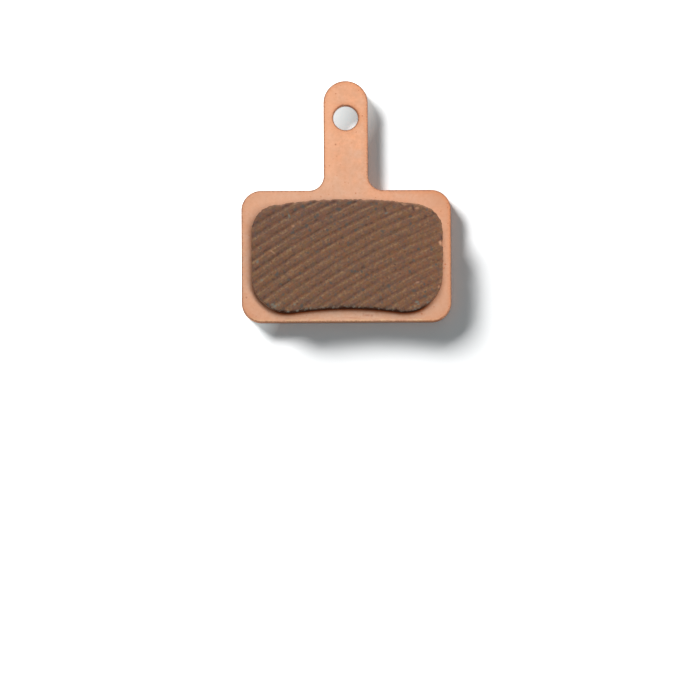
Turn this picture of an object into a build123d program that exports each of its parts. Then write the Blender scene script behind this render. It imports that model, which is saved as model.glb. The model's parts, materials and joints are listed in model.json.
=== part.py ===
"""Bicycle disc brake pad: a sintered friction block bonded to a copper-plated steel backing plate.

The pad lies on its back. X runs across the pad, +Y points to the tip of the hanging tab, and +Z points
out of the friction face. The origin is on the back face, at the middle of the plate's body, where the
caliper's piston pushes. All lengths are in millimetres and all angles in degrees.
"""

import os
from math import asin, cos, degrees, hypot, radians, sin, sqrt

from build123d import *

# Backing plate
BODY_WIDTH = 29.5
BODY_HEIGHT = 18.63
BODY_CORNER_RADIUS = 2.8
PLATE_THICKNESS = 1.8
PLATE_EDGE_ROUND = 0.2

# Hanging tab and the hole for the retaining pin
TAB_WIDTH = 6.25
TAB_LENGTH = 15.5
TAB_ROOT_RADIUS = 2.05
PIN_HOLE_RADIUS = 1.75
PIN_HOLE_FROM_TIP = 5.23

# Friction block, set in from the edges of the plate's body
BLOCK_THICKNESS = 2.0
BLOCK_LEFT_MARGIN = 1.43
BLOCK_RIGHT_MARGIN = 1.22
BLOCK_TOP_MARGIN = 1.53
BLOCK_BOTTOM_MARGIN = 1.8
BLOCK_TOP_ARC_RADIUS = 64.0
BLOCK_BOTTOM_ARC_RADIUS = 52.0
BLOCK_TOP_CORNER_RADIUS = 3.65
BLOCK_BOTTOM_LEFT_RADIUS = 5.1
BLOCK_BOTTOM_RIGHT_RADIUS = 5.3

# Machining grooves in the friction face: one arc, repeated along the feed
GROOVE_WIDTH = 0.7
GROOVE_DEPTH = 0.08
GROOVE_PITCH = 1.39
GROOVE_ARC_RADIUS = 97.0
GROOVE_CENTRE_DIRECTION = -61.0
GROOVE_FEED_DIRECTION = 140.0
GROOVE_FEED_START = 0.96

# Chip knocked out of the block's right edge
CHIP_RADIUS = 0.3
CHIP_ABOVE_MIDDLE = 1.7

# Places that follow from the sizes above
body_top = BODY_HEIGHT / 2
tab_tip = body_top + TAB_LENGTH
tab_end_radius = TAB_WIDTH / 2
friction_face_height = PLATE_THICKNESS + BLOCK_THICKNESS
block_left = BLOCK_LEFT_MARGIN - BODY_WIDTH / 2
block_right = BODY_WIDTH / 2 - BLOCK_RIGHT_MARGIN
block_middle = (block_left + block_right) / 2
block_top = body_top - BLOCK_TOP_MARGIN
block_bottom = BLOCK_BOTTOM_MARGIN - body_top


def arc_rise(radius, half_chord):
    """How far an arc of this radius stands above its chord."""
    return radius - sqrt(radius**2 - half_chord**2)


# Steel plate: a rounded body with a round-ended tab, all edges broken
with BuildPart() as backing_plate:
    with BuildSketch() as plate_outline:
        RectangleRounded(BODY_WIDTH, BODY_HEIGHT, BODY_CORNER_RADIUS)
        Rectangle(TAB_WIDTH, tab_tip - tab_end_radius, align=(Align.CENTER, Align.MIN))
        with Locations((0, tab_tip - tab_end_radius)):
            Circle(tab_end_radius)
        tab_root_corners = plate_outline.vertices().sort_by_distance((0, body_top))[:2]
        fillet(tab_root_corners, TAB_ROOT_RADIUS)
        with Locations((0, tab_tip - PIN_HOLE_FROM_TIP)):
            Circle(PIN_HOLE_RADIUS, mode=Mode.SUBTRACT)
    extrude(amount=PLATE_THICKNESS)
    rims = backing_plate.edges().group_by(Axis.Z)
    fillet(rims[0] + rims[-1], PLATE_EDGE_ROUND)

# Cutter for one groove: a V swept along an arc about the vertical axis, at the friction face's height.
# The V stands as far above the face as it cuts below it, and the arc runs a body's diagonal to each side.
body_diagonal = hypot(BODY_WIDTH, BODY_HEIGHT)
groove_sweep = 2 * degrees(asin(body_diagonal / GROOVE_ARC_RADIUS))
with BuildPart() as groove_cutter:
    with BuildSketch(Plane.XZ):
        with BuildLine():
            Polyline(
                (GROOVE_ARC_RADIUS, friction_face_height - GROOVE_DEPTH),
                (GROOVE_ARC_RADIUS + GROOVE_WIDTH, friction_face_height + GROOVE_DEPTH),
                (GROOVE_ARC_RADIUS - GROOVE_WIDTH, friction_face_height + GROOVE_DEPTH),
                close=True,
            )
        make_face()
    revolve(axis=Axis.Z, revolution_arc=groove_sweep)


def groove_place(feed):
    """Where the cutter's axis stands for the groove that lies this far along the feed."""
    centre_angle = radians(GROOVE_CENTRE_DIRECTION)
    feed_angle = radians(GROOVE_FEED_DIRECTION)
    x = GROOVE_ARC_RADIUS * cos(centre_angle) + feed * cos(feed_angle)
    y = GROOVE_ARC_RADIUS * sin(centre_angle) + feed * sin(feed_angle)
    turn = GROOVE_CENTRE_DIRECTION + 180 - groove_sweep / 2
    return Location((x, y, 0), (0, 0, turn))


groove_steps = int(body_diagonal / 2 / GROOVE_PITCH) + 1
groove_feeds = [GROOVE_FEED_START + step * GROOVE_PITCH for step in range(-groove_steps, groove_steps)]

# Friction block: bowed top edge, hollowed bottom edge, rounded corners, grooved face
with BuildPart() as friction_block:
    with BuildSketch(Plane.XY.offset(PLATE_THICKNESS)) as block_outline:
        half_width = (block_right - block_left) / 2
        top_corner = block_top - arc_rise(BLOCK_TOP_ARC_RADIUS, half_width)
        bottom_corner = block_bottom - arc_rise(BLOCK_BOTTOM_ARC_RADIUS, half_width)
        with BuildLine():
            ThreePointArc((block_left, top_corner), (block_middle, block_top), (block_right, top_corner))
            Line((block_right, top_corner), (block_right, bottom_corner))
            ThreePointArc(
                (block_right, bottom_corner), (block_middle, block_bottom), (block_left, bottom_corner)
            )
            Line((block_left, bottom_corner), (block_left, top_corner))
        make_face()
        fillet(block_outline.vertices().group_by(Axis.Y)[-1], BLOCK_TOP_CORNER_RADIUS)
        for corner_x, radius in (
            (block_left, BLOCK_BOTTOM_LEFT_RADIUS),
            (block_right, BLOCK_BOTTOM_RIGHT_RADIUS),
        ):
            corner = block_outline.vertices().sort_by_distance((corner_x, bottom_corner))[0]
            fillet(corner, radius)
        with Locations((block_right, CHIP_ABOVE_MIDDLE)):
            Circle(CHIP_RADIUS, mode=Mode.SUBTRACT)
    extrude(amount=BLOCK_THICKNESS)
    with Locations(*[groove_place(feed) for feed in groove_feeds]):
        add(groove_cutter.part, mode=Mode.SUBTRACT)

os.makedirs("parts", exist_ok=True)
backing_plate.part.label = "backing_plate"
export_step(backing_plate.part, "parts/backing_plate.step")
friction_block.part.label = "friction_block"
export_step(friction_block.part, "parts/friction_block.step")
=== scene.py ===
"""Looks of a bicycle disc brake pad: a copper-plated steel plate under a grooved, sintered friction block.

Both pieces are modelled here as fine meshes in the places of their CAD solids. Shapes are worked out in
millimetres, in the part's own frame, and become metres when a mesh is made. X runs across the pad, +Y
points to the tip of the hanging tab, and +Z points out of the friction face.
"""

import json
import math

import bpy
import numpy as np
from mathutils import Matrix, Vector
from mathutils.geometry import delaunay_2d_cdt


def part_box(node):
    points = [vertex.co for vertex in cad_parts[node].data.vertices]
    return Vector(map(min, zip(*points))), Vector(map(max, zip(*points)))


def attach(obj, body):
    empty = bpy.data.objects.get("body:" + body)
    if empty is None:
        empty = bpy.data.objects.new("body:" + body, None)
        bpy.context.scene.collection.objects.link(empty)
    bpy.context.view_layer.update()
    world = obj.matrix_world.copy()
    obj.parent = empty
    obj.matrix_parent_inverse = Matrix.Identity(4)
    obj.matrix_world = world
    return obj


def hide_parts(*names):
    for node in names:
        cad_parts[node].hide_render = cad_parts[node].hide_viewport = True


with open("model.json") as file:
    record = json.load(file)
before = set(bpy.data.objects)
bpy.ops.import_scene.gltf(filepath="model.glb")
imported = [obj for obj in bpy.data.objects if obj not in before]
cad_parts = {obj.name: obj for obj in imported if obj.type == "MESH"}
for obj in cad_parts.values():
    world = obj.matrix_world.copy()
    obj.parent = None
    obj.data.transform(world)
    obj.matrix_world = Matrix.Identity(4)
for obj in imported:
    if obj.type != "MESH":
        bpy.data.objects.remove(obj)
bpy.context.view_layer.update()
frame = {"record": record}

MM = 0.001
mounts = {mount["name"]: mount for mount in frame["record"]["mounts"]}

# Directions along the pad
RIGHT = (1.0, 0.0, 0.0)
LEFT = (-1.0, 0.0, 0.0)
TO_TIP = (0.0, 1.0, 0.0)
FROM_TIP = (0.0, -1.0, 0.0)

# Backing plate
plate_low, plate_high = (np.array(corner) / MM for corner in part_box("backing_plate"))
BODY_CORNER_RADIUS = 2.8
TAB_WIDTH = 6.25
TAB_ROOT_RADIUS = 2.05
PLATE_EDGE_ROUND = 0.2
pin_hole = np.array(mounts["pin_hole"]["pos_m"])[:2] / MM
pin_hole_radius = mounts["pin_hole"]["dims"]["r_mm"]

# Friction block
block_low, block_high = (np.array(corner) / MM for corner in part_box("friction_block"))
BLOCK_BOTTOM_MARGIN = 1.8
BLOCK_TOP_ARC_RADIUS = 64.0
BLOCK_BOTTOM_ARC_RADIUS = 52.0
BLOCK_TOP_CORNER_RADIUS = 3.65
BLOCK_BOTTOM_LEFT_RADIUS = 5.1
BLOCK_BOTTOM_RIGHT_RADIUS = 5.3

# Machining grooves in the friction face
GROOVE_WIDTH = 0.7
GROOVE_DEPTH = 0.08
GROOVE_PITCH = 1.39
GROOVE_ARC_RADIUS = 97.0
GROOVE_CENTRE_DIRECTION = -61.0
GROOVE_FEED_DIRECTION = 140.0
GROOVE_FEED_START = 0.96

# How much of their depth the grooves have at the middle of the face, and how much less at its right end
GROOVE_STRENGTH = 0.9
GROOVE_STRENGTH_LOSS = 0.3

# Painted light and shade across the grooves, partly a smear of the cutter
# Where each groove is bright and where dull, and how wide, in pitches from its bottom
BRIGHT_SIDE = -0.17
BRIGHT_SPREAD = 0.13
DULL_SIDE = 0.19
DULL_SPREAD = 0.15

# Fine relief of the face: the depths of streaks, grains and pits, and the noise level at which pits open
STREAK_DEPTH = 0.012
GRAIN_DEPTH = 0.008
PIT_DEPTH = 0.1
PIT_LEVEL = 0.5

# Chip in the block's right edge: its place, reach and depth, its curve along the rim, and how far it
# closes down to the foot
CHIP_ABOVE_MIDDLE = 1.7
CHIP_UP = 0.3
CHIP_DOWN = 0.7
CHIP_DEPTH = 0.36
CHIP_CURVE = 1.5
CHIP_CLOSING = 0.75

# Bare metal in the chip: its level at the middle, and how it falls with the reach and with the depth
BARE_LEVEL = 1.75
BARE_BY_REACH = 1.9
BARE_BY_DEPTH = 1.7

# Crumbled lower edge of the face: its depth and curve, the heights between which it sets in, the distances
# from the middle between which it gets less, and its width where it is least and most
CRUMBLE_DEPTH = 0.25
CRUMBLE_CURVE = 1.5
CRUMBLE_HEIGHTS = (-5.4, -7.2)
CRUMBLE_SIDES = (8.0, 11.0)
CRUMBLE_SIDE_LOSS = 0.5
CRUMBLE_WIDTHS = (0.1, 0.27)

# Loose crumbs further in from that edge: how far they reach and how deep they are, as a share
CRUMB_REACH = 0.7
CRUMB_SHARE = 0.3

# Where the rim of the face is worn in: the way that the rim faces there, and the depth. The wear sets in
# where the rim faces that way by this share, and it fades down the wall by this power.
WORN_RIMS = (((-0.7, -0.7), 0.12), ((0.7, -0.7), 0.09), ((-1.0, 0.1), 0.08))
WORN_FROM = 2 / 3
WEAR_CURVE = 2.5
DEEPEST_WEAR = max(depth for _, depth in WORN_RIMS)

# Partly a painted highlight, where the rounded rim faces the light
# Rim of the face that is rubbed bright: its width and strength, how much of it is even, the heights and
# places between which it sets in, and the least that is left of it on the right
RUBBED_WIDTH = 0.3
RUBBED_STRENGTH = 0.35
RUBBED_EVENLY = 0.7
RUBBED_HEIGHTS = (-5.4, -3.6)
RUBBED_LEFT = (-12.0, -10.0)
RUBBED_RIGHT = (14.0, 10.0)
RUBBED_RIGHT_LEAST = 0.3

# How far the ragged rim of the block stands out of its outline on average, and how rough its walls are
RIM_PROUD = 0.04
WALL_ROUGHNESS = 0.03

# A lighter rusty brown on the block's walls that face the light, painted light and partly rust: its
# strength, how much less of it is on worn walls and at the foot, and how much of it lies evenly
RUST_STRENGTH = 0.7
RUST_WORN_LOSS = 0.75
RUST_FOOT_LOSS = 0.5
RUST_EVENLY = 0.8

# The way that walls face when they get the least light, and how squarely they face it from light to dark
AWAY_FROM_LIGHT = (0.1, -0.995)
SHADED_SPAN = (0.7444, 0.9667)

# How far painted shade and dirt on the plate reach from the block's foot: the least, and most below worn
# rims
FOOT_REACH = (0.4, 0.6)

# How much painted shade and dirt lie there: below the middle of the pad, for each millimetre of wear in the
# rim above, and as painted shade on the plate's walls that face away from the light
LOWER_DIRT = 0.1
WEAR_DIRT = 3.0
WALL_DIRT = 0.5

# Single marks on the friction face, of bare metal, pale, grey and dark: the middle of each, its length,
# width and turn in degrees
BARE_MARKS = (
    (8.16, 7.1, 1.2, 0.45, -5),
    (9.98, 6.52, 0.75, 0.5, 20),
    (11.1, 6.72, 0.8, 0.35, -25),
    (-7.43, 4.05, 0.65, 0.45, 0),
    (-10.37, 0.44, 0.9, 0.28, -40),
    (13.0, -4.63, 0.6, 0.32, 80),
    (9.99, -3.98, 0.85, 0.3, 20),
)
PALE_MARKS = (
    (-12.48, -0.92, 0.75, 0.42, 70),
    (-11.93, -3.54, 0.5, 0.42, 0),
    (-10.05, -7.25, 0.65, 0.45, 20),
    (5.69, 5.84, 0.6, 0.36, 20),
    (9.91, -6.76, 0.75, 0.45, 10),
    (11.4, -6.8, 0.5, 0.36, 0),
    (-8.02, 5.56, 0.8, 0.36, -75),
    (-10.44, -7.0, 0.5, 0.4, 0),
    (-9.52, -7.07, 0.4, 0.32, 60),
    (-8.19, -8.0, 0.45, 0.3, 20),
    (-7.3, -7.01, 0.42, 0.34, 0),
    (-6.94, -7.9, 0.5, 0.3, 10),
    (-5.85, -7.8, 0.4, 0.3, 0),
    (-5.06, -7.55, 0.4, 0.3, 30),
)
GREY_MARKS = (
    (-9.75, -2.7, 1.0, 0.5, 75),
    (-6.52, -2.58, 0.65, 0.5, 0),
    (5.98, -4.48, 0.8, 0.6, -60),
    (2.33, -5.0, 0.7, 0.5, 40),
    (9.49, -5.18, 0.8, 0.6, 0),
    (-6.26, -7.15, 0.8, 0.6, 90),
    (-6.05, 6.78, 0.9, 0.6, 0),
    (-0.99, 6.44, 1.1, 0.75, -10),
    (-4.02, 5.61, 0.8, 0.6, 70),
    (0.49, 7.3, 1.0, 0.5, 10),
    (8.95, -2.45, 0.65, 0.5, 80),
    (5.11, 3.23, 0.65, 0.5, -45),
    (-5.57, 4.06, 0.7, 0.55, 45),
    (-5.08, 3.49, 0.5, 0.4, 0),
    (-7.47, 3.15, 0.7, 0.5, 30),
    (0.06, 4.24, 0.6, 0.5, 70),
)
DARK_MARKS = (
    (9.42, 6.53, 1.2, 0.4, -70),
    (7.73, 7.06, 0.95, 0.35, -25),
    (5.48, 6.33, 1.1, 0.36, -65),
    (12.23, 5.87, 0.65, 0.4, -45),
    (11.24, 5.38, 0.65, 0.35, -15),
    (13.43, 2.33, 0.8, 0.4, 85),
    (1.2, 7.42, 0.7, 0.4, 20),
    (2.87, 4.16, 0.6, 0.4, 20),
    (3.57, 4.44, 0.6, 0.35, 20),
    (-1.61, 7.6, 1.0, 0.35, 0),
    (-4.5, 7.45, 0.7, 0.3, 10),
    (-8.51, 6.97, 0.8, 0.35, 10),
    (-4.16, 4.9, 0.8, 0.4, 20),
)
BARE_MARK_STRENGTH = 0.36
MARK_SHARPNESS = 1.7

# Single specks and scratches on the plating: the middle of each, its length and width, and its strength
PLATE_SPECKS = (
    (-1.43, 15.79, 0.36, 0.36, 1.0),
    (-0.88, 15.9, 0.3, 0.3, 0.35),
    (-14.07, -5.8, 0.4, 0.4, 1.0),
    (-5.97, 9.2, 0.4, 0.4, 1.0),
    (2.36, -8.3, 0.4, 0.7, 0.45),
    (2.9, -8.4, 1.1, 0.45, 0.7),
    (3.55, -8.46, 0.55, 0.55, 0.7),
    (0.4, -8.72, 4.2, 0.3, 0.35),
)

# Layers of smooth noise: the most that each adds, the size of its bumps, and its seed. Bumps that follow
# the grooves have a size across them and another along them.
EDGE_WAVES = (0.3, 0.9, 11)
EDGE_RIPPLES = (0.2, 0.35, 12)
GROOVE_WANDER = (0.06, (2.0, 5.0, 1.0), 21)
GROOVE_FADES = (0.35, (1.2, 3.0, 1.0), 22)
FACE_STREAKS = (1.0, (0.2, 4.0, 1.0), 23)
FACE_GRAINS = (1.0, 0.3, 24)
FACE_PITS = (1.0, 0.45, 25)
RIM_CRUMBS = (0.06, 0.24, 31)
RIM_WAVES = (0.06, 0.5, 32)
WALL_BUMPS = (1.0, 0.25, 33)
CRUMBLE_WAVES = (0.5, 0.5, 34)
CRUMBLE_GRAINS = (0.5, 0.25, 35)
CRUMB_SCATTER = (0.9, 0.4, 36)
RUBBED_PATCHES = (0.6, 0.6, 37)
RUST_PATCHES = (0.4, 0.9, 38)
MARK_RIMS = (0.3, 0.25, 41)
NOISE_TABLE_SIZE = 64

# Mesh spacings, the rings of points round the plate's edges, and those down the walls, as shares of depth
OUTLINE_STEP = 0.1
PLATE_STEP = 0.45
BLOCK_STEP = 0.105
EDGE_ROUND_RINGS = 7
PLATE_WALL_LEVELS = (0.25, 0.4, 0.55, 0.7, 0.8)
BLOCK_WALL_LEVELS = np.linspace(0, 1, 20)[1:]

# Rows of points on the plate around the block's foot: how far out of the foot's outline each lies
FOOT_ROWS = np.linspace(-0.1, FOOT_REACH[1], 7)

# How near to an outline a face's inner points come, in steps, and how many points are measured at once
INNER_CLEARANCE = 0.6
POINTS_AT_ONCE = 400

# Triangulation: keep the triangles inside the outlines, and join points that are this near
KEEP_INSIDE = 1
JOIN_DISTANCE = 1e-7

# The photograph's frame, and the middle and the width of the plate's body in it
IMAGE_PIXELS = 700
BODY_MIDDLE_PIXEL = (346.27, 255.99)
BODY_WIDTH_PIXELS = 209.65

# Camera: its tilt and roll in degrees, its lens and sensor, and how far about the object it sees, as a
# factor of its distance
VIEW_TILT = 6.0
CAMERA_ROLL = -0.3
CAMERA_LENS = 800.0
CAMERA_SENSOR = 36.0
CAMERA_CLIP = 10.0

# Floor, in metres, and the world's light on the object
FLOOR_SIZE = 3.0
FLOOR_COLOR = (0.91, 0.91, 0.91, 1.0)
AMBIENT = 0.2

# Glow of the floor: its least and its most, and the way and the two distances between which it rises.
# It paints the shadow lighter towards the upper left. Both are cool, against the copper's reflection in
# shadow.
FLOOR_GLOW_LEAST = (0.034, 0.05, 0.056, 1.0)
FLOOR_GLOW_MOST = (0.6, 0.71, 0.73, 1.0)
FLOOR_GLOW_TOWARD = (-0.9, 0.45, 0.0)
FLOOR_GLOW_RISE = (4.0, 10.5)

# Lamps: the direction and the distance in metres of each from the origin, its size in metres and its power
KEY_TOWARD = Vector((0.17, 0.15, 1.0))
KEY_DISTANCE = 0.29
KEY_SIZE = (0.34, 0.085)
KEY_POWER = 0.665
FLOOR_LAMP_TOWARD = Vector((-1.4, 1.5, 0.97))
FLOOR_LAMP_DISTANCE = 1.5
FLOOR_LAMP_SIZE = (0.6, 0.36)
FLOOR_LAMP_POWER = 56.0


# Numbers and directions

def rise(values, start, end):
    """Values taken to a scale from 0 at the start to 1 at the end, and no further."""
    return np.clip((values - start) / (end - start), 0, 1)


def heading(degrees):
    """The unit vector at an angle from +X."""
    return np.array([math.cos(math.radians(degrees)), math.sin(math.radians(degrees))])


def left_of(direction):
    """A direction turned a quarter to the left."""
    return np.array([-direction[1], direction[0]])


def smooth_noise(points, amount, cell, seed):
    """Smooth random values from -amount to amount at points, about one bump to a cell."""
    table = np.random.default_rng(seed).uniform(-1, 1, (NOISE_TABLE_SIZE,) * 3)
    places = np.zeros((len(points), 3))
    places[:, : points.shape[1]] = points
    places /= cell
    low = np.floor(places).astype(int)
    part = places - low
    part = part * part * (3 - 2 * part)
    total = np.zeros(len(points))
    for corner in np.ndindex(2, 2, 2):
        weight = np.prod(np.where(corner, part, 1 - part), axis=1)
        i, j, k = ((low + corner) % NOISE_TABLE_SIZE).T
        total += weight * table[i, j, k]
    return amount * total


def shaded(normals):
    """How squarely walls with these normals face away from the light: 0 at the sides, 1 at the bottom."""
    return rise(normals @ AWAY_FROM_LIGHT, *SHADED_SPAN)


# Outlines

def arc(centre, radius, start, end):
    """Points along an arc between two angles in degrees."""
    count = max(3, round(abs(math.radians(end - start)) * radius / OUTLINE_STEP))
    angles = np.radians(np.linspace(start, end, count + 1))
    return np.column_stack([centre[0] + radius * np.cos(angles), centre[1] + radius * np.sin(angles)])


def even_outline(stretches):
    """A closed outline through the stretches, in even steps, and its normals out of the material."""
    corners = np.vstack(stretches + [stretches[0][:1]])
    run = np.concatenate([[0], np.cumsum(np.hypot(*np.diff(corners, axis=0).T))])
    places = np.linspace(0, run[-1], round(run[-1] / OUTLINE_STEP), endpoint=False)
    points = np.column_stack([np.interp(places, run, corners[:, k]) for k in (0, 1)])
    along = np.roll(points, -1, axis=0) - np.roll(points, 1, axis=0)
    along /= np.hypot(*along.T)[:, None]
    return points, np.column_stack([along[:, 1], -along[:, 0]])


def plate_outline():
    """The plate's rim, anticlockwise from its lower right corner."""
    half_width, tab_half = plate_high[0], TAB_WIDTH / 2
    half_height, radius = -plate_low[1], BODY_CORNER_RADIUS
    x, y = half_width - radius, half_height - radius
    root_x, root_y = tab_half + TAB_ROOT_RADIUS, half_height + TAB_ROOT_RADIUS
    return even_outline([
        arc((x, -y), radius, -90, 0),
        arc((x, y), radius, 0, 90),
        arc((root_x, root_y), TAB_ROOT_RADIUS, 270, 180),
        arc((0, plate_high[1] - tab_half), tab_half, 0, 180),
        arc((-root_x, root_y), TAB_ROOT_RADIUS, 0, -90),
        arc((-x, y), radius, 90, 180),
        arc((-x, -y), radius, 180, 270),
    ])


def hole_outline():
    """The pin hole's rim, clockwise, with the material on its outside."""
    return even_outline([arc(pin_hole, pin_hole_radius, 360, 0)])


def block_outline():
    """The block's rim, anticlockwise from its upper right corner."""
    left, right = block_low[0], block_high[0]
    middle, half_width = (left + right) / 2, (right - left) / 2
    top_centre = block_high[1] - BLOCK_TOP_ARC_RADIUS
    bottom_centre = plate_low[1] + BLOCK_BOTTOM_MARGIN - BLOCK_BOTTOM_ARC_RADIUS

    def corner(radius, reach):
        """A corner's place and its turn in degrees, seen from the centre of the long arc it runs into."""
        x = half_width - radius
        y = math.sqrt(reach**2 - x**2)
        return x, y, math.degrees(math.atan2(y, x))

    top, low_left, low_right = BLOCK_TOP_CORNER_RADIUS, BLOCK_BOTTOM_LEFT_RADIUS, BLOCK_BOTTOM_RIGHT_RADIUS
    top_x, top_y, top_turn = corner(top, BLOCK_TOP_ARC_RADIUS - top)
    left_x, left_y, left_turn = corner(low_left, BLOCK_BOTTOM_ARC_RADIUS + low_left)
    right_x, right_y, right_turn = corner(low_right, BLOCK_BOTTOM_ARC_RADIUS + low_right)
    return even_outline([
        arc((middle + top_x, top_centre + top_y), top, 0, top_turn),
        arc((middle, top_centre), BLOCK_TOP_ARC_RADIUS, top_turn, 180 - top_turn),
        arc((middle - top_x, top_centre + top_y), top, 180 - top_turn, 180),
        arc((middle - left_x, bottom_centre + left_y), low_left, 180, 360 - left_turn),
        arc((middle, bottom_centre), BLOCK_BOTTOM_ARC_RADIUS, 180 - left_turn, right_turn),
        arc((middle + right_x, bottom_centre + right_y), low_right, 180 + right_turn, 360),
    ])


def inside(points, outline):
    """Which points lie inside a closed outline."""
    hits = np.zeros(len(points), bool)
    x, y = points.T
    for (x0, y0), (x1, y1) in zip(outline, np.roll(outline, -1, axis=0)):
        crosses = (y0 > y) != (y1 > y)
        if crosses.any():
            hits[crosses] ^= x[crosses] < x0 + (y[crosses] - y0) * (x1 - x0) / (y1 - y0)
    return hits


def edge_distance(points, outline):
    """How far each point lies from an outline, in groups of points that keep the arrays small."""
    starts, runs = outline, np.roll(outline, -1, axis=0) - outline
    nearest = []
    for group in np.array_split(points, max(1, len(points) // POINTS_AT_ONCE)):
        gap = group[:, None] - starts
        share = np.clip((gap * runs).sum(2) / (runs**2).sum(1), 0, 1)
        nearest.append(np.hypot(*np.moveaxis(gap - share[..., None] * runs, 2, 0)).min(1))
    return np.concatenate(nearest)


# Meshes

def filler(rim, holes, step):
    """Points in a triangular grid that fill a rim, clear of it and of its holes."""
    low, high = rim.min(0), rim.max(0)
    rows = np.arange(low[1], high[1], step * math.sqrt(3) / 2)
    columns = np.arange(low[0], high[0], step)
    x = columns[None] + (np.arange(len(rows)) % 2)[:, None] * step / 2
    grid = np.column_stack([x.ravel(), np.repeat(rows, len(columns))])
    kept = inside(grid, rim)
    for hole in holes:
        kept &= ~inside(grid, hole)
    grid = grid[kept]
    clear = np.min([edge_distance(grid, loop) for loop in [rim, *holes]], axis=0)
    return grid[clear > step * INNER_CLEARANCE]


def triangles_between(loops, inner):
    """Triangles that join the loops and the inner points, by their places in one list of all of them."""
    points = np.vstack([*loops, inner])
    edges = []
    for numbers in numbered(loops):
        edges += np.column_stack([numbers, np.roll(numbers, -1)]).tolist()
    corners = [Vector(point) for point in points]
    _, _, faces, origins, _, _ = delaunay_2d_cdt(corners, edges, [], KEEP_INSIDE, JOIN_DISTANCE)
    faces = np.array([[origins[k][0] for k in face] for face in faces])
    for hole in loops[1:]:
        faces = faces[~inside(points[faces].mean(1), hole)]
    return faces


def numbered(parts):
    """The vertex numbers of each part when all parts are stacked in one list."""
    ends = np.cumsum([len(part) for part in parts])
    return [np.arange(end - len(part), end) for part, end in zip(parts, ends)]


def at_height(points, heights):
    """Flat points lifted to one height, or each to its own."""
    return np.column_stack([points, np.broadcast_to(heights, len(points))])


def wall_faces(rings):
    """Quads down a wall between rings of vertex numbers, the first ring uppermost."""
    quads = []
    for upper, lower in zip(rings, rings[1:]):
        quads += np.column_stack([upper, lower, np.roll(lower, -1), np.roll(upper, -1)]).tolist()
    return quads


def add_object(name, data):
    """A new object in the scene."""
    item = bpy.data.objects.new(name, data)
    bpy.context.scene.collection.objects.link(item)
    return item


def make_piece(name, points, faces, **attributes):
    """A smooth mesh object from points in millimetres, with a value or a vector for each point."""
    mesh = bpy.data.meshes.new(name)
    mesh.from_pydata((points * MM).tolist(), [], faces)
    for key, values in attributes.items():
        kind, slot = ("FLOAT", "value") if values.ndim == 1 else ("FLOAT_VECTOR", "vector")
        attribute = mesh.attributes.new(key, kind, "POINT")
        attribute.data.foreach_set(slot, values.astype(np.float32).ravel())
    mesh.shade_smooth()
    return add_object(name, mesh)


# Backing plate

def plate_profile():
    """Insets and heights down the plate's edge: a rolled front edge, the wall, a broken back edge."""
    turns = np.radians(np.linspace(0, 90, EDGE_ROUND_RINGS))
    front = [(PLATE_EDGE_ROUND * (1 - math.sin(a)), -PLATE_EDGE_ROUND * (1 - math.cos(a))) for a in turns]
    thickness = plate_high[2]
    walls = [(0, -share * thickness) for share in PLATE_WALL_LEVELS]
    back = [(inset, -thickness - drop) for inset, drop in reversed(front)]
    return np.array(front + walls + back)


def plate_edge(outline, normals):
    """Rings of points down the plate's edge along an outline, with its rounding slightly uneven."""
    wobble = 1 + smooth_noise(outline, *EDGE_WAVES) + smooth_noise(outline, *EDGE_RIPPLES)
    rings = []
    for inset, drop in plate_profile():
        uneven = wobble[:, None] if inset > 0 else 1
        rings.append(at_height(outline - normals * (inset * uneven), plate_high[2] + drop))
    return rings


def plate_inner_points(loops, foot, foot_normals):
    """Points inside the plate's loops, with closer rows around the block's foot."""
    points = filler(loops[0], loops[1:], PLATE_STEP)
    points = points[edge_distance(points, foot) > FOOT_REACH[1] + PLATE_STEP / 2]
    return np.vstack([points, *(foot[::2] + foot_normals[::2] * gap for gap in FOOT_ROWS)])


def foot_dirt(points, foot, normals):
    """Painted shade and some dirt on the plate's front around the block's foot, from 0 to 1."""
    gap = np.where(inside(points[:, :2], foot), 0, edge_distance(points[:, :2], foot))
    on_front = points[:, 2] > plate_high[2] - PLATE_EDGE_ROUND / 2
    nearest = [np.argmin(np.hypot(*(foot - point).T)) for point in points[:, :2]]
    wear = rim_wear(normals[nearest])
    # Painted shade: most below walls that face away from the light, a little everywhere below the middle
    share = LOWER_DIRT * (points[:, 1] < 0) + WEAR_DIRT * wear + shaded(normals[nearest])
    reach = np.interp(wear, (0, DEEPEST_WEAR), FOOT_REACH)
    return np.clip((1 - gap / reach) * share, 0, 1) * on_front


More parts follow.
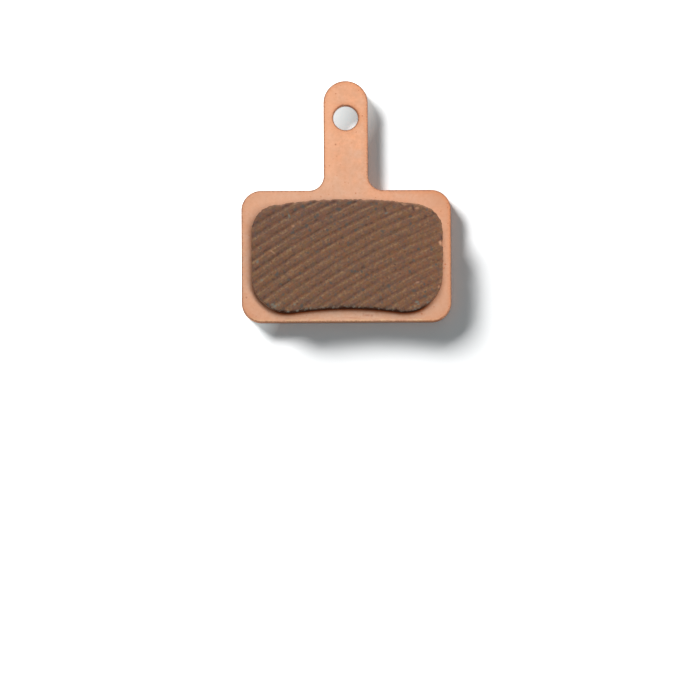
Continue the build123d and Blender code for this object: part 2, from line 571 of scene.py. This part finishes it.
def make_plate():
    """The plate: a front and a back of triangles, joined by rounded walls along its rim and its hole."""
    loops = [plate_outline(), hole_outline()]
    foot, foot_normals = block_outline()
    front_loops = [outline - normals * PLATE_EDGE_ROUND for outline, normals in loops]
    inner = plate_inner_points(front_loops, foot, foot_normals)
    cap = triangles_between(front_loops, inner)

    rim_rings, hole_rings = (plate_edge(outline, normals) for outline, normals in loops)
    top = plate_high[2]
    parts = [*rim_rings, *hole_rings, at_height(inner, top), at_height(inner, 0)]
    points = np.vstack(parts)
    *ring_numbers, front_inner, back_inner = numbered(parts)
    rim_numbers, hole_numbers = ring_numbers[: len(rim_rings)], ring_numbers[len(rim_rings) :]
    front_numbers = np.concatenate([rim_numbers[0], hole_numbers[0], front_inner])
    back_numbers = np.concatenate([rim_numbers[-1], hole_numbers[-1], back_inner])
    faces = front_numbers[cap].tolist() + back_numbers[cap][:, ::-1].tolist()
    faces += wall_faces(rim_numbers) + wall_faces(hole_numbers)

    inset = np.min([edge_distance(points[:, :2], outline) for outline, _ in loops], axis=0)
    depth = np.minimum(points[:, 2], top - points[:, 2])
    # Painted shade on the plate's outer walls that face away from the light
    wall_dirt = np.zeros(len(points))
    wall_dirt[np.concatenate(rim_numbers)] = np.tile(WALL_DIRT * shaded(loops[0][1]), len(rim_rings))
    wall_dirt *= np.clip(depth / PLATE_EDGE_ROUND, 0, 1)
    dirt = np.maximum(wall_dirt, foot_dirt(points, foot, foot_normals))
    return make_piece("plate", points, faces, edge=np.maximum(inset, depth), dirt=dirt)


# Friction block

def groove_places(points):
    """How far each point lies along the feed and along its own groove's arc."""
    toward, feed = heading(GROOVE_CENTRE_DIRECTION), heading(GROOVE_FEED_DIRECTION)
    gap = points[:, :2] - GROOVE_ARC_RADIUS * toward
    lead = gap @ feed
    across = lead - np.sqrt(lead**2 - (gap**2).sum(1) + GROOVE_ARC_RADIUS**2)
    spoke = gap - across[:, None] * feed
    along = GROOVE_ARC_RADIUS * np.arctan2(spoke @ left_of(toward), -spoke @ toward)
    return across, along


def face_relief(points):
    """Depth of the machined face below its highest level, its polish and painted shading, its places along
    grooves.
    """
    across, along = groove_places(points)
    streaks = np.column_stack([across, along])
    phase = (across + smooth_noise(streaks, *GROOVE_WANDER) - GROOVE_FEED_START) / GROOVE_PITCH
    off = phase - np.round(phase)
    dip = np.clip(1 - np.abs(off) * GROOVE_PITCH / (GROOVE_WIDTH / 2), 0, 1)
    strength = GROOVE_STRENGTH - GROOVE_STRENGTH_LOSS * points[:, 0] / block_high[0]
    strength *= 1 + smooth_noise(streaks, *GROOVE_FADES)
    relief = GROOVE_DEPTH * strength * dip
    relief += STREAK_DEPTH * strength * (1 + smooth_noise(streaks, *FACE_STREAKS))
    relief += GRAIN_DEPTH * (1 + smooth_noise(points[:, :2], *FACE_GRAINS))
    relief += PIT_DEPTH * np.clip(smooth_noise(points[:, :2], *FACE_PITS) - PIT_LEVEL, 0, 1)
    # Painted light and shade: one flank of each groove brighter and the other duller, partly polish
    bright = np.exp(-((off - BRIGHT_SIDE) / BRIGHT_SPREAD) ** 2)
    dull = np.exp(-((off - DULL_SIDE) / DULL_SPREAD) ** 2)
    return relief, (bright - dull) * strength, at_height(streaks, 0)


def edge_crumble(points, gap):
    """How much of the face has crumbled away along its lower edge, from 0 to 1, less at the corners."""
    share = rise(points[:, 1], *CRUMBLE_HEIGHTS)
    share *= 1 - CRUMBLE_SIDE_LOSS * rise(np.abs(points[:, 0]), *CRUMBLE_SIDES)
    width = np.interp(share, (0, 1), CRUMBLE_WIDTHS) * (1 + smooth_noise(points, *CRUMBLE_WAVES))
    edge = np.clip(1 - gap / width, 0, 1) * (1 + smooth_noise(points, *CRUMBLE_GRAINS))
    near = np.clip(1 - gap / CRUMB_REACH, 0, 1)
    crumbs = CRUMB_SHARE * near * (1 + smooth_noise(points, *CRUMB_SCATTER))
    return np.clip(np.maximum(edge, crumbs) * share, 0, 1)


def rim_wear(normals):
    """How far the rim of the face is worn in where it faces these ways."""
    return sum(depth * rise(normals @ toward, WORN_FROM, 1) for toward, depth in WORN_RIMS)


def rubbed_rim(points, gap):
    """How bright the face's rim is rubbed and painted lit, everywhere but on the left and the lower edge."""
    share = rise(points[:, 1], *RUBBED_HEIGHTS) * rise(points[:, 0], *RUBBED_LEFT)
    share *= np.maximum(rise(points[:, 0], *RUBBED_RIGHT), RUBBED_RIGHT_LEAST)
    near = np.clip(1 - gap / RUBBED_WIDTH, 0, 1)
    return RUBBED_STRENGTH * near * share * (RUBBED_EVENLY + smooth_noise(points, *RUBBED_PATCHES))


def in_marks(points, marks):
    """How far each point lies inside one of the marks: 0 outside their ragged rims, 1 at their middles."""
    ragged = 1 + smooth_noise(points, *MARK_RIMS)
    most = np.zeros(len(points))
    for x, y, length, width, turn in marks:
        along = heading(turn)
        gap = points[:, :2] - (x, y)
        reach = 2 * np.hypot(gap @ along / length, gap @ left_of(along) / width)
        most = np.maximum(most, np.clip(MARK_SHARPNESS * (1 - reach * ragged), 0, 1))
    return most


def chip_reach(points):
    """How far each point lies from the chip's middle: 1 at the chip's ends."""
    up = points[:, 1] - CHIP_ABOVE_MIDDLE
    return np.hypot((points[:, 0] - block_high[0]) / CHIP_DOWN, up / np.where(up > 0, CHIP_UP, CHIP_DOWN))


def rim_insets(rim, normals):
    """How far the face's rim stands in from the block's outline: by the chip, ragged edges and wear."""
    chip = CHIP_DEPTH * np.clip(1 - chip_reach(rim) ** CHIP_CURVE, 0, 1)
    ragged = smooth_noise(rim, *RIM_CRUMBS) + smooth_noise(rim, *RIM_WAVES) - RIM_PROUD
    return chip, ragged, rim_wear(normals)


def block_walls(rim, normals, face_heights, insets):
    """Rings of points down the block's wall, from just below the face to the plate."""
    chip, ragged, worn = insets
    rings = []
    for level in BLOCK_WALL_LEVELS:
        heights = face_heights * (1 - level) + block_low[2] * level
        rough = WALL_ROUGHNESS * (1 + smooth_noise(at_height(rim, heights), *WALL_BUMPS))
        inset = chip * (1 - CHIP_CLOSING * level) ** 2 + ragged * (1 - level)
        inset += worn * (1 - level) ** WEAR_CURVE + rough * math.sin(math.pi * level)
        rings.append(at_height(rim - normals * inset[:, None], heights))
    return rings


def wall_rust(walls, normals, worn):
    """Lighter rusty brown painted on lit walls, from 0 to 1: least where shaded or worn, and at the foot."""
    lit = np.tile(1 - shaded(normals), len(walls))
    unworn = np.tile(1 - RUST_WORN_LOSS * np.clip(worn / DEEPEST_WEAR, 0, 1), len(walls))
    sunk = np.repeat(BLOCK_WALL_LEVELS, len(normals))
    patchy = RUST_EVENLY + smooth_noise(np.vstack(walls), *RUST_PATCHES) * sunk
    return RUST_STRENGTH * lit * unworn * patchy * (1 - RUST_FOOT_LOSS * sunk)


def make_block():
    """The block: a face of small triangles, ragged walls and a flat underside."""
    rim, normals = block_outline()
    insets = rim_insets(rim, normals)
    face_rim = rim - normals * sum(insets)[:, None]
    inner = filler(face_rim, [], BLOCK_STEP)
    cap = triangles_between([face_rim], inner)
    flat = np.vstack([face_rim, inner])
    gap = edge_distance(flat, face_rim)
    relief, polish, streak = face_relief(flat)
    crumble = edge_crumble(flat, gap)
    relief += CRUMBLE_DEPTH * crumble**CRUMBLE_CURVE
    face = at_height(flat, block_high[2] - relief)

    walls = block_walls(rim, normals, face[: len(rim), 2], insets)
    points = np.vstack([face, *walls])
    rings = [np.arange(len(rim)), *numbered([face, *walls])[1:]]
    faces = cap.tolist() + wall_faces(rings) + [rings[-1][::-1].tolist()]

    def on_face(values):
        """Values of the face's points, with none on the walls."""
        return np.concatenate([values, np.zeros(len(points) - len(face))])

    def on_walls(values):
        """Values of the walls' points, with none on the face."""
        return np.concatenate([np.zeros(len(face)), values])

    depth = (block_high[2] - points[:, 2]) / (block_high[2] - block_low[2])
    bared = np.clip(BARE_LEVEL - BARE_BY_REACH * chip_reach(points) - BARE_BY_DEPTH * depth, 0, 1)
    # Rubbed rims with a painted highlight where they face the light, and bare marks
    rubbed = np.maximum(rubbed_rim(flat, gap), BARE_MARK_STRENGTH * in_marks(flat, BARE_MARKS))
    return make_piece(
        "sintered_block", points, faces,
        broken=on_face(crumble),
        polish=on_face(polish),
        streak=np.vstack([streak, *walls]),
        fresh=np.maximum(bared, on_face(rubbed)),
        pale=on_face(in_marks(flat, PALE_MARKS)),
        grey=on_face(in_marks(flat, GREY_MARKS)),
        dark=on_face(in_marks(flat, DARK_MARKS)),
        # Painted light: a lighter rusty brown on walls that face the light
        rust=on_walls(wall_rust(walls, normals, insets[2])),
        # Painted shade on walls that face away from the light
        soot=on_walls(np.tile(shaded(normals), len(walls))),
    )


# Materials

def srgb(red, green, blue):
    """A colour given as it looks on screen, 0 to 255, in the linear values that shaders take."""
    parts = [value / 255 for value in (red, green, blue)]
    return (*[p / 12.92 if p <= 0.04045 else ((p + 0.055) / 1.055) ** 2.4 for p in parts], 1.0)


# The smallest grain's radius, as a share of the largest one's
SMALLEST_GRAIN = 0.45

# Colours of the plating, among them a painted highlight, a painted glint and painted shade
COPPER_TONES = ((0.1, srgb(225, 185, 158)), (0.5, srgb(231, 179, 147)), (0.95, srgb(248, 181, 140)))
COPPER_CLOUD = srgb(222, 160, 122)
COPPER_STAIN = srgb(213, 152, 114)
COPPER_CORNER = srgb(213, 142, 101)
COPPER_BAND = srgb(226, 190, 162)
COPPER_SHEEN = srgb(251, 187, 147)
COPPER_DULL = srgb(203, 160, 132)
COPPER_EDGE_TINT = srgb(224, 147, 100)
COPPER_DASH = srgb(210, 138, 101)
COPPER_GLINT = srgb(246, 214, 164)
COPPER_EDGE_LINE = srgb(136, 83, 64)
COPPER_DIRT = srgb(138, 66, 20)
COPPER_GRAIN = srgb(200, 116, 78)
COPPER_SPECK = srgb(168, 84, 58)

# Colours of the friction compound. The ruddy and the cool tint multiply what lies under them.
SINTER_TONES = (
    (0.0, srgb(86, 60, 48)),
    (0.25, srgb(106, 77, 61)),
    (0.5, srgb(125, 92, 71)),
    (0.75, srgb(143, 109, 82)),
    (1.0, srgb(162, 129, 97)),
)
SINTER_WARM = srgb(138, 88, 61)
SINTER_ASHEN = srgb(105, 89, 76)
SINTER_MAUVE = srgb(112, 84, 79)
SINTER_OLIVE = srgb(127, 97, 61)
SINTER_RUDDY = srgb(255, 234, 224)
SINTER_COOL = (0.93, 0.95, 1.05, 1.0)
SINTER_DARK_GRAIN = srgb(84, 58, 50)
SINTER_ASH_GRAIN = srgb(89, 88, 85)
SINTER_GREY_GRAIN = srgb(84, 83, 79)
SINTER_PALE_GRAIN = srgb(126, 127, 117)
SINTER_DARK_MARK = srgb(80, 58, 52)
# Painted light on walls that face the light, as a rusty brown
SINTER_RUST = srgb(190, 118, 78)
# Painted shade on walls that face away from the light
SINTER_SOOT = srgb(64, 33, 22)
SINTER_BARE = srgb(228, 172, 138)

# Colours of the crumbled edge, from its hollows to its crumbs, and painted shade where it is broken deepest
CRUMBLE_TONES = ((0.4, srgb(66, 49, 41)), (0.5, srgb(90, 72, 62)), (0.62, srgb(114, 110, 101)))
CRUMBLE_DEEP = srgb(66, 33, 22)


class Material:
    """A node material, with one call for each kind of step."""

    def __init__(self, name):
        self.material = bpy.data.materials.new(name)
        self.material.use_nodes = True
        self.tree = self.material.node_tree
        self.tree.nodes.clear()

    def add(self, kind, inputs=(), **settings):
        """A new node, with its settings, and each input set to a value or linked to a socket."""
        node = self.tree.nodes.new(kind)
        for key, value in settings.items():
            setattr(node, key, value)
        for key, value in dict(inputs).items():
            if isinstance(value, bpy.types.NodeSocket):
                self.tree.links.new(value, node.inputs[key])
            else:
                node.inputs[key].default_value = value
        return node

    def place(self):
        """The place on the object, in metres."""
        return self.add("ShaderNodeTexCoord").outputs["Object"]

    def attribute(self, name, output="Fac"):
        """What the mesh holds for each point under this name."""
        return self.add("ShaderNodeAttribute", attribute_name=name).outputs[output]

    def noise(self, vector, size, detail=3.0, seed=0.0, roughness=0.55):
        """Noise from 0 to 1, with bumps of about this size."""
        inputs = {"Vector": vector, "W": seed, "Scale": 1 / size, "Detail": detail, "Roughness": roughness}
        return self.add("ShaderNodeTexNoise", inputs, noise_dimensions="4D").outputs["Fac"]

    def ramp(self, value, span, levels=(0.0, 1.0), smooth=False):
        """A value taken from a span to the levels at its two ends, and no further."""
        inputs = dict(zip(("From Min", "From Max", "To Min", "To Max"), (*span, *levels)), Value=value)
        kind = "SMOOTHSTEP" if smooth else "LINEAR"
        return self.add("ShaderNodeMapRange", inputs, interpolation_type=kind).outputs["Result"]

    def drift(self, vector, direction, span, levels):
        """A value that drifts between two levels along a direction, over a span in millimetres."""
        along = self.vector("DOT_PRODUCT", vector, direction, output="Value")
        return self.ramp(along, [distance * MM for distance in span], levels)

    def math(self, operation, first, second):
        """One operation on two values."""
        return self.add("ShaderNodeMath", {0: first, 1: second}, operation=operation).outputs["Value"]

    def plus(self, first, second):
        """The sum of two values."""
        return self.math("ADD", first, second)

    def times(self, first, second):
        """The product of two values."""
        return self.math("MULTIPLY", first, second)

    def larger(self, first, second):
        """The larger of two values."""
        return self.math("MAXIMUM", first, second)

    def vector(self, operation, *inputs, output="Vector"):
        """One operation on vectors."""
        return self.add("ShaderNodeVectorMath", enumerate(inputs), operation=operation).outputs[output]

    def colors(self, value, *stops):
        """A colour that runs through (place, colour) stops as the value goes from 0 to 1."""
        node = self.add("ShaderNodeValToRGB", {"Fac": value})
        for element, stop in zip(node.color_ramp.elements, (stops[0], stops[-1])):
            element.position, element.color = stop
        for position, color in stops[1:-1]:
            node.color_ramp.elements.new(position).color = color
        return node.outputs["Color"]

    def mix(self, factor, first, second, blend="MIX"):
        """The first colour blended with the second. The node keeps its colours in sockets 6 and 7."""
        inputs = {0: factor, 6: first, 7: second}
        return self.add("ShaderNodeMix", inputs, data_type="RGBA", blend_type=blend).outputs[2]

    def warped(self, vector, size, reach):
        """The vector pushed about by noise, which makes regular cells irregular."""
        inputs = {"Vector": vector, "Scale": 1 / size, "Detail": 2.0}
        push = self.add("ShaderNodeTexNoise", inputs).outputs["Color"]
        return self.vector("MULTIPLY_ADD", push, (reach, reach, reach), vector)

    def grains(self, vector, spacing, share, radius, edge):
        """1 inside scattered grains: a share of cells holds one, and radius and edge are in cell sizes."""
        cells = self.add("ShaderNodeTexVoronoi", {"Vector": vector, "Scale": 1 / spacing})
        parts = self.add("ShaderNodeSeparateColor", {"Color": cells.outputs["Color"]})
        chosen = self.math("GREATER_THAN", parts.outputs["Red"], 1 - share)
        size = self.ramp(parts.outputs["Green"], (0, 1), (SMALLEST_GRAIN * radius, radius))
        depth = self.math("SUBTRACT", size, cells.outputs["Distance"])
        return self.times(chosen, self.ramp(depth, (0, edge), smooth=True))

    def finish(self, shader):
        """The material, with this shader on its surface."""
        self.add("ShaderNodeOutputMaterial", {"Surface": shader.outputs["BSDF"]})
        return self.material


def copper_mottling(m, place, patch):
    """Orange and cream patches, more orange and painted lighter towards the tab's tip, with clouds, small
    stains.
    """
    broad = m.noise(place, 3.5 * MM, detail=2.0, seed=2.0)
    hue = m.plus(m.ramp(patch, (0.3, 0.7), (0.33, 0.67)), m.ramp(broad, (0.35, 0.65), (-0.12, 0.12)))
    # Towards the tip the tone is more orange and lighter; the lighter part is painted light
    hue = m.plus(hue, m.drift(place, (0.3, 1.0, 0.0), (-8, 27), (-0.27, 0.36)))
    color = m.colors(hue, *COPPER_TONES)
    cloud = m.noise(place, 2.5 * MM, detail=2.0, seed=7.0)
    color = m.mix(m.ramp(cloud, (0.42, 0.66), (0.0, 0.3)), color, COPPER_CLOUD)
    stain = m.noise(place, 0.4 * MM, detail=4.0, seed=5.0, roughness=0.6)
    return m.mix(m.ramp(stain, (0.36, 0.62), (0.4, 0.0)), color, COPPER_STAIN)


def copper_zones(m, place, color):
    """Darker corners of the body, a pale band above the block, a painted highlight on the tab, painted shade
    on the right.
    """
    corner = m.drift(m.vector("ABSOLUTE", place), (1.0, 1.0, 0.0), (18, 22.5), (0.0, 0.75))
    corner = m.times(corner, m.drift(place, (1.0, -1.0, 0.0), (-22, -5), (0.4, 1.0)))
    corner = m.times(corner, m.drift(place, TO_TIP, (-8, -2), (0.65, 1.0)))
    corner = m.times(corner, m.drift(place, TO_TIP, (9.5, 12), (1.0, 0.0)))
    color = m.mix(corner, color, COPPER_CORNER)
    band = m.drift(place, TO_TIP, (5, 8), (0.0, 0.22))
    band = m.times(band, m.drift(place, (0.6, 1.0, 0.0), (8.7, 12), (1.0, 0.0)))
    color = m.mix(band, color, COPPER_BAND)
    # Painted highlight along the tab's left side
    sheen = m.drift(place, LEFT, (1.0, 2.8), (0.0, 0.5))
    sheen = m.times(sheen, m.drift(place, TO_TIP, (9.5, 12), (0.0, 1.0)))
    color = m.mix(sheen, color, COPPER_SHEEN)
    # Painted shade on the right side of the body
    return m.mix(m.drift(place, RIGHT, (10.5, 14), (0.0, 0.25)), color, COPPER_DULL)


def copper_edges(m, place, color, fine, patch):
    """An orange tint and short dashes near the edges, painted glints on the lower edge, a dark line on each
    edge.
    """
    edge = m.attribute("edge")
    tint = m.drift(place, (1.0, 0.5, 0.0), (6, 17), (0.25, 0.72))
    color = m.mix(m.times(m.ramp(edge, (0.1, 0.7), (1.0, 0.0)), tint), color, COPPER_EDGE_TINT)
    dashes = m.noise(m.vector("MULTIPLY", place, (0.3, 1.0, 1.0)), 0.16 * MM, detail=2.0, seed=10.0)
    dashes = m.times(m.ramp(dashes, (0.52, 0.72), (0.0, 0.45)), m.ramp(edge, (0.1, 1.0), (1.0, 0.25)))
    color = m.mix(dashes, color, COPPER_DASH)
    # Painted highlight: glints along the lower edge, as its rounded edge catching the light
    glint = m.times(m.ramp(edge, (0.05, 0.2)), m.ramp(edge, (0.2, 0.45), (1.0, 0.0)))
    glint = m.times(glint, m.drift(place, FROM_TIP, (8.4, 9.0), (0.0, 0.6)))
    color = m.mix(m.times(glint, m.ramp(patch, (0.4, 0.6))), color, COPPER_GLINT)
    line = m.plus(edge, m.ramp(fine, (0.3, 0.7), (-0.12, 0.12)))
    return m.mix(m.ramp(line, (0.0, 0.24), (0.72, 0.0)), color, COPPER_EDGE_LINE)


def copper_specks(m, place, color):
    """Faint grains all over, and darker specks, both scattered and single ones."""
    bent = m.warped(place, 0.3 * MM, 0.25 * MM)
    faint = m.grains(bent, 0.54 * MM, share=0.38, radius=0.3, edge=0.15)
    faint = m.times(faint, m.drift(place, (1.0, 0.3, 0.0), (-6, 12), (0.4, 0.8)))
    color = m.mix(faint, color, COPPER_GRAIN)
    specks = m.times(m.grains(bent, 1.63 * MM, share=0.2, radius=0.12, edge=0.08), 0.3)
    for x, y, length, width, strength in PLATE_SPECKS:
        away = m.vector("SUBTRACT", place, (x * MM, y * MM, plate_high[2] * MM))
        scaled = m.vector("MULTIPLY", away, (2 / length / MM, 2 / width / MM, 2 / width / MM))
        reach = m.vector("LENGTH", scaled, output="Value")
        specks = m.larger(specks, m.ramp(reach, (0.2, 1.0), (strength, 0.0)))
    return m.mix(m.times(specks, 0.6), color, COPPER_SPECK)


def copper_material():
    """Matte copper plating on steel."""
    m = Material("copper_plating")
    place = m.place()
    fine = m.noise(place, 0.3 * MM)
    patch = m.noise(place, 1.3 * MM, seed=1.0)
    color = copper_mottling(m, place, patch)
    color = copper_zones(m, place, color)
    color = copper_edges(m, place, color, fine, patch)
    # Painted shade and some dirt around the block's foot, and painted shade on the shaded plate walls
    color = m.mix(m.attribute("dirt"), color, COPPER_DIRT)
    color = copper_specks(m, place, color)
    bump = m.add("ShaderNodeBump", {"Height": fine, "Strength": 0.3, "Distance": 0.03 * MM})
    return m.finish(m.add("ShaderNodeBsdfPrincipled", {
        "Base Color": color,
        "Metallic": 0.12,
        "Roughness": m.ramp(fine, (0.3, 0.7), (0.52, 0.64)),
        "Specular IOR Level": 0.1,
        "Normal": bump.outputs["Normal"],
    }))


def sinter_streaks(m, place, grain):
    """Browns that follow the grooves: polish and painted light and shade on their sides, fine lines,
    blotches, grain.
    """
    stretched = m.vector("MULTIPLY", m.attribute("streak", "Vector"), (1.0, 0.09, 1.0))
    lines = m.noise(stretched, 0.27)
    blotch = m.noise(place, 1.1 * MM, detail=2.0, seed=9.0)
    # Painted light and shade across the grooves, partly polish
    tone = m.ramp(m.attribute("polish"), (-1, 1), (-0.32, 0.32))
    tone = m.plus(tone, m.ramp(lines, (0.25, 0.75), (-0.27, 0.27)))
    tone = m.plus(tone, m.ramp(blotch, (0.3, 0.7), (-0.1, 0.1)))
    tone = m.plus(tone, m.ramp(grain, (0.2, 0.8)))
    tone = m.plus(tone, m.drift(place, RIGHT, (3, 12), (0.01, 0.07)))
    return m.colors(tone, *SINTER_TONES)


def sinter_tinges(m, place, color):
    """Warm, ashen, mauve and olive tinges, ruddier on the right and cooler towards the tab."""
    warm = m.noise(place, 0.36 * MM, seed=3.0)
    color = m.mix(m.ramp(warm, (0.44, 0.64), (0.0, 0.7)), color, SINTER_WARM)
    ashen = m.noise(place, 0.35 * MM, detail=4.0, seed=4.0)
    color = m.mix(m.ramp(ashen, (0.48, 0.66), (0.0, 0.7)), color, SINTER_ASHEN)
    tinge = m.noise(place, 0.45 * MM, seed=8.0)
    color = m.mix(m.ramp(tinge, (0.34, 0.5), (0.4, 0.0)), color, SINTER_MAUVE)
    color = m.mix(m.ramp(tinge, (0.52, 0.66), (0.0, 0.45)), color, SINTER_OLIVE)
    color = m.mix(m.drift(place, RIGHT, (3, 12), (0.0, 0.24)), color, SINTER_RUDDY, "MULTIPLY")
    cool = m.drift(place, (-0.25, 1.0, 0.0), (3, 8.5), (0.0, 1.0))
    return m.mix(cool, color, SINTER_COOL, "MULTIPLY")


def sinter_crumble(m, place, color, broken):
    """Crumbs along the broken lower edge, with painted shade where it is broken deepest."""
    crumbs = m.colors(m.noise(place, 0.38 * MM, detail=2.0, seed=6.0), *CRUMBLE_TONES)
    # Painted shade at the lower rim, where the edge is broken deepest
    crumbs = m.mix(m.ramp(broken, (0.5, 0.8), (0.0, 0.95)), crumbs, CRUMBLE_DEEP)
    return m.mix(m.ramp(broken, (0.05, 0.45), (0.0, 0.95)), color, crumbs)


def sinter_grains(m, bent, color):
    """Ash, grey and pale grains, both scattered and single ones, and single dark marks."""
    ash = m.grains(bent, 0.65 * MM, share=0.4, radius=0.36, edge=0.12)
    color = m.mix(m.times(ash, 0.55), color, SINTER_ASH_GRAIN)
    grey = m.larger(m.grains(bent, 0.95 * MM, share=0.55, radius=0.32, edge=0.16), m.attribute("grey"))
    color = m.mix(m.times(grey, 0.8), color, SINTER_GREY_GRAIN)
    pale = m.larger(m.grains(bent, 1.3 * MM, share=0.1, radius=0.18, edge=0.08), m.attribute("pale"))
    color = m.mix(m.times(pale, 0.75), color, SINTER_PALE_GRAIN)
    return m.mix(m.times(m.attribute("dark"), 0.8), color, SINTER_DARK_MARK)


def sinter_material():
    """Sintered friction compound: brown, streaked along the grooves, with grains, walls painted lit and
    shaded.
    """
    m = Material("sintered_friction")
    place = m.place()
    grain = m.noise(place, 0.42 * MM, detail=4.0, roughness=0.62)
    broken, soot = m.attribute("broken"), m.attribute("soot")
    color = sinter_streaks(m, place, grain)
    color = sinter_tinges(m, place, color)
    bent = m.warped(place, 0.3 * MM, 0.4 * MM)
    dark = m.grains(bent, 0.6 * MM, share=0.3, radius=0.34, edge=0.15)
    color = m.mix(m.times(dark, 0.5), color, SINTER_DARK_GRAIN)
    # Painted light on the walls that face the light, as a lighter rusty brown
    color = m.mix(m.attribute("rust"), color, SINTER_RUST)
    color = sinter_crumble(m, place, color, broken)
    color = sinter_grains(m, bent, color)
    # Painted shade on the walls that face away from the light
    color = m.mix(m.times(soot, 0.92), color, SINTER_SOOT)
    color = m.mix(m.attribute("fresh"), color, SINTER_BARE)
    pits = m.noise(place, 0.14 * MM)
    bump = m.add("ShaderNodeBump", {"Height": pits, "Strength": 0.4, "Distance": 0.03 * MM})
    return m.finish(m.add("ShaderNodeBsdfPrincipled", {
        "Base Color": color,
        "Metallic": 0.12,
        "Roughness": m.ramp(grain, (0.3, 0.7), (0.62, 0.8)),
        "Specular IOR Level": m.ramp(m.larger(broken, soot), (0.3, 0.7), (0.15, 0.0)),
        "Normal": bump.outputs["Normal"],
    }))


# Stage

def seen_directly(tree):
    """1 for camera, glossy and transmission rays, which see the white background, and 0 for other rays."""
    path = tree.nodes.new("ShaderNodeLightPath")
    seen = path.outputs["Is Camera Ray"]
    for ray in ("Is Glossy Ray", "Is Transmission Ray"):
        larger = tree.nodes.new("ShaderNodeMath")
        larger.operation = "MAXIMUM"
        tree.links.new(seen, larger.inputs[0])
        tree.links.new(path.outputs[ray], larger.inputs[1])
        seen = larger.outputs["Value"]
    return seen


def make_floor():
    """A wide floor that takes the object's shadow and glows white to the camera around it."""
    half = FLOOR_SIZE / 2
    corners = [(-half, -half, 0), (half, -half, 0), (half, half, 0), (-half, half, 0)]
    mesh = bpy.data.meshes.new("floor")
    mesh.from_pydata(corners, [], [(0, 1, 2, 3)])
    floor = add_object("floor", mesh)
    m = Material("floor")
    rising = m.drift(m.place(), FLOOR_GLOW_TOWARD, FLOOR_GLOW_RISE, (0.0, 1.0))
    mesh.materials.append(m.finish(m.add("ShaderNodeBsdfPrincipled", {
        "Base Color": FLOOR_COLOR,
        "Roughness": 0.9,
        "Specular IOR Level": 0.0,
        "Emission Color": m.mix(rising, FLOOR_GLOW_LEAST, FLOOR_GLOW_MOST),
        "Emission Strength": seen_directly(m.tree),
    })))
    return floor


def make_world():
    """Even light from all sides, weak on the object and white where it is seen directly."""
    world = bpy.data.worlds.new("studio")
    bpy.context.scene.world = world
    world.use_nodes = True
    tree = world.node_tree
    strength = tree.nodes.new("ShaderNodeMapRange")
    tree.links.new(seen_directly(tree), strength.inputs["Value"])
    strength.inputs["To Min"].default_value = AMBIENT
    strength.inputs["To Max"].default_value = 1.0
    background = tree.nodes["Background"]
    background.inputs["Color"].default_value = (1.0, 1.0, 1.0, 1.0)
    tree.links.new(strength.outputs["Result"], background.inputs["Strength"])


def make_lamp(name, toward, distance, size, power, lit):
    """A softbox that faces the origin and lights the given objects only, though all cast its shadows."""
    lamp = bpy.data.lights.new(name, "AREA")
    lamp.shape = "RECTANGLE"
    lamp.size, lamp.size_y = size
    lamp.energy = power
    softbox = add_object(name, lamp)
    softbox.location = toward.normalized() * distance
    softbox.rotation_euler = (-toward).to_track_quat("-Z", "Y").to_euler()
    group = bpy.data.collections.new("lit_by_" + name)
    for target in lit:
        group.objects.link(target)
    softbox.light_linking.receiver_collection = group


def make_camera():
    """A long lens, set so that the plate's front face lies where the photograph has it."""
    data = bpy.data.cameras.new("camera")
    data.lens = CAMERA_LENS
    data.sensor_width = CAMERA_SENSOR
    body_width = (plate_high[0] - plate_low[0]) * MM
    metres_per_pixel = body_width / BODY_WIDTH_PIXELS
    distance = CAMERA_LENS / CAMERA_SENSOR * IMAGE_PIXELS * metres_per_pixel
    data.clip_start = distance / CAMERA_CLIP
    data.clip_end = distance * CAMERA_CLIP
    off_axis = Vector((
        (BODY_MIDDLE_PIXEL[0] - IMAGE_PIXELS / 2) * metres_per_pixel,
        (IMAGE_PIXELS / 2 - BODY_MIDDLE_PIXEL[1]) * metres_per_pixel,
        -distance,
    ))
    tilt = math.radians(VIEW_TILT) - math.atan2(off_axis.y, distance)
    turn = Matrix.Rotation(tilt, 3, "X") @ Matrix.Rotation(math.radians(CAMERA_ROLL), 3, "Z")
    camera = add_object("camera", data)
    camera.location = Vector((0, 0, plate_high[2] * MM)) - turn @ off_axis
    camera.rotation_euler = turn.to_euler()
    bpy.context.scene.camera = camera


plate = make_plate()
plate.data.materials.append(copper_material())
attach(plate, "root")
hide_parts("backing_plate")

block = make_block()
block.data.materials.append(sinter_material())
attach(block, "root")
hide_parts("friction_block")

floor = make_floor()
make_world()
make_lamp("key", KEY_TOWARD, KEY_DISTANCE, KEY_SIZE, KEY_POWER, [plate, block])
make_lamp(
    "floor_lamp", FLOOR_LAMP_TOWARD, FLOOR_LAMP_DISTANCE, FLOOR_LAMP_SIZE, FLOOR_LAMP_POWER, [floor]
)
make_camera()
bpy.context.scene.view_settings.view_transform = "Standard"
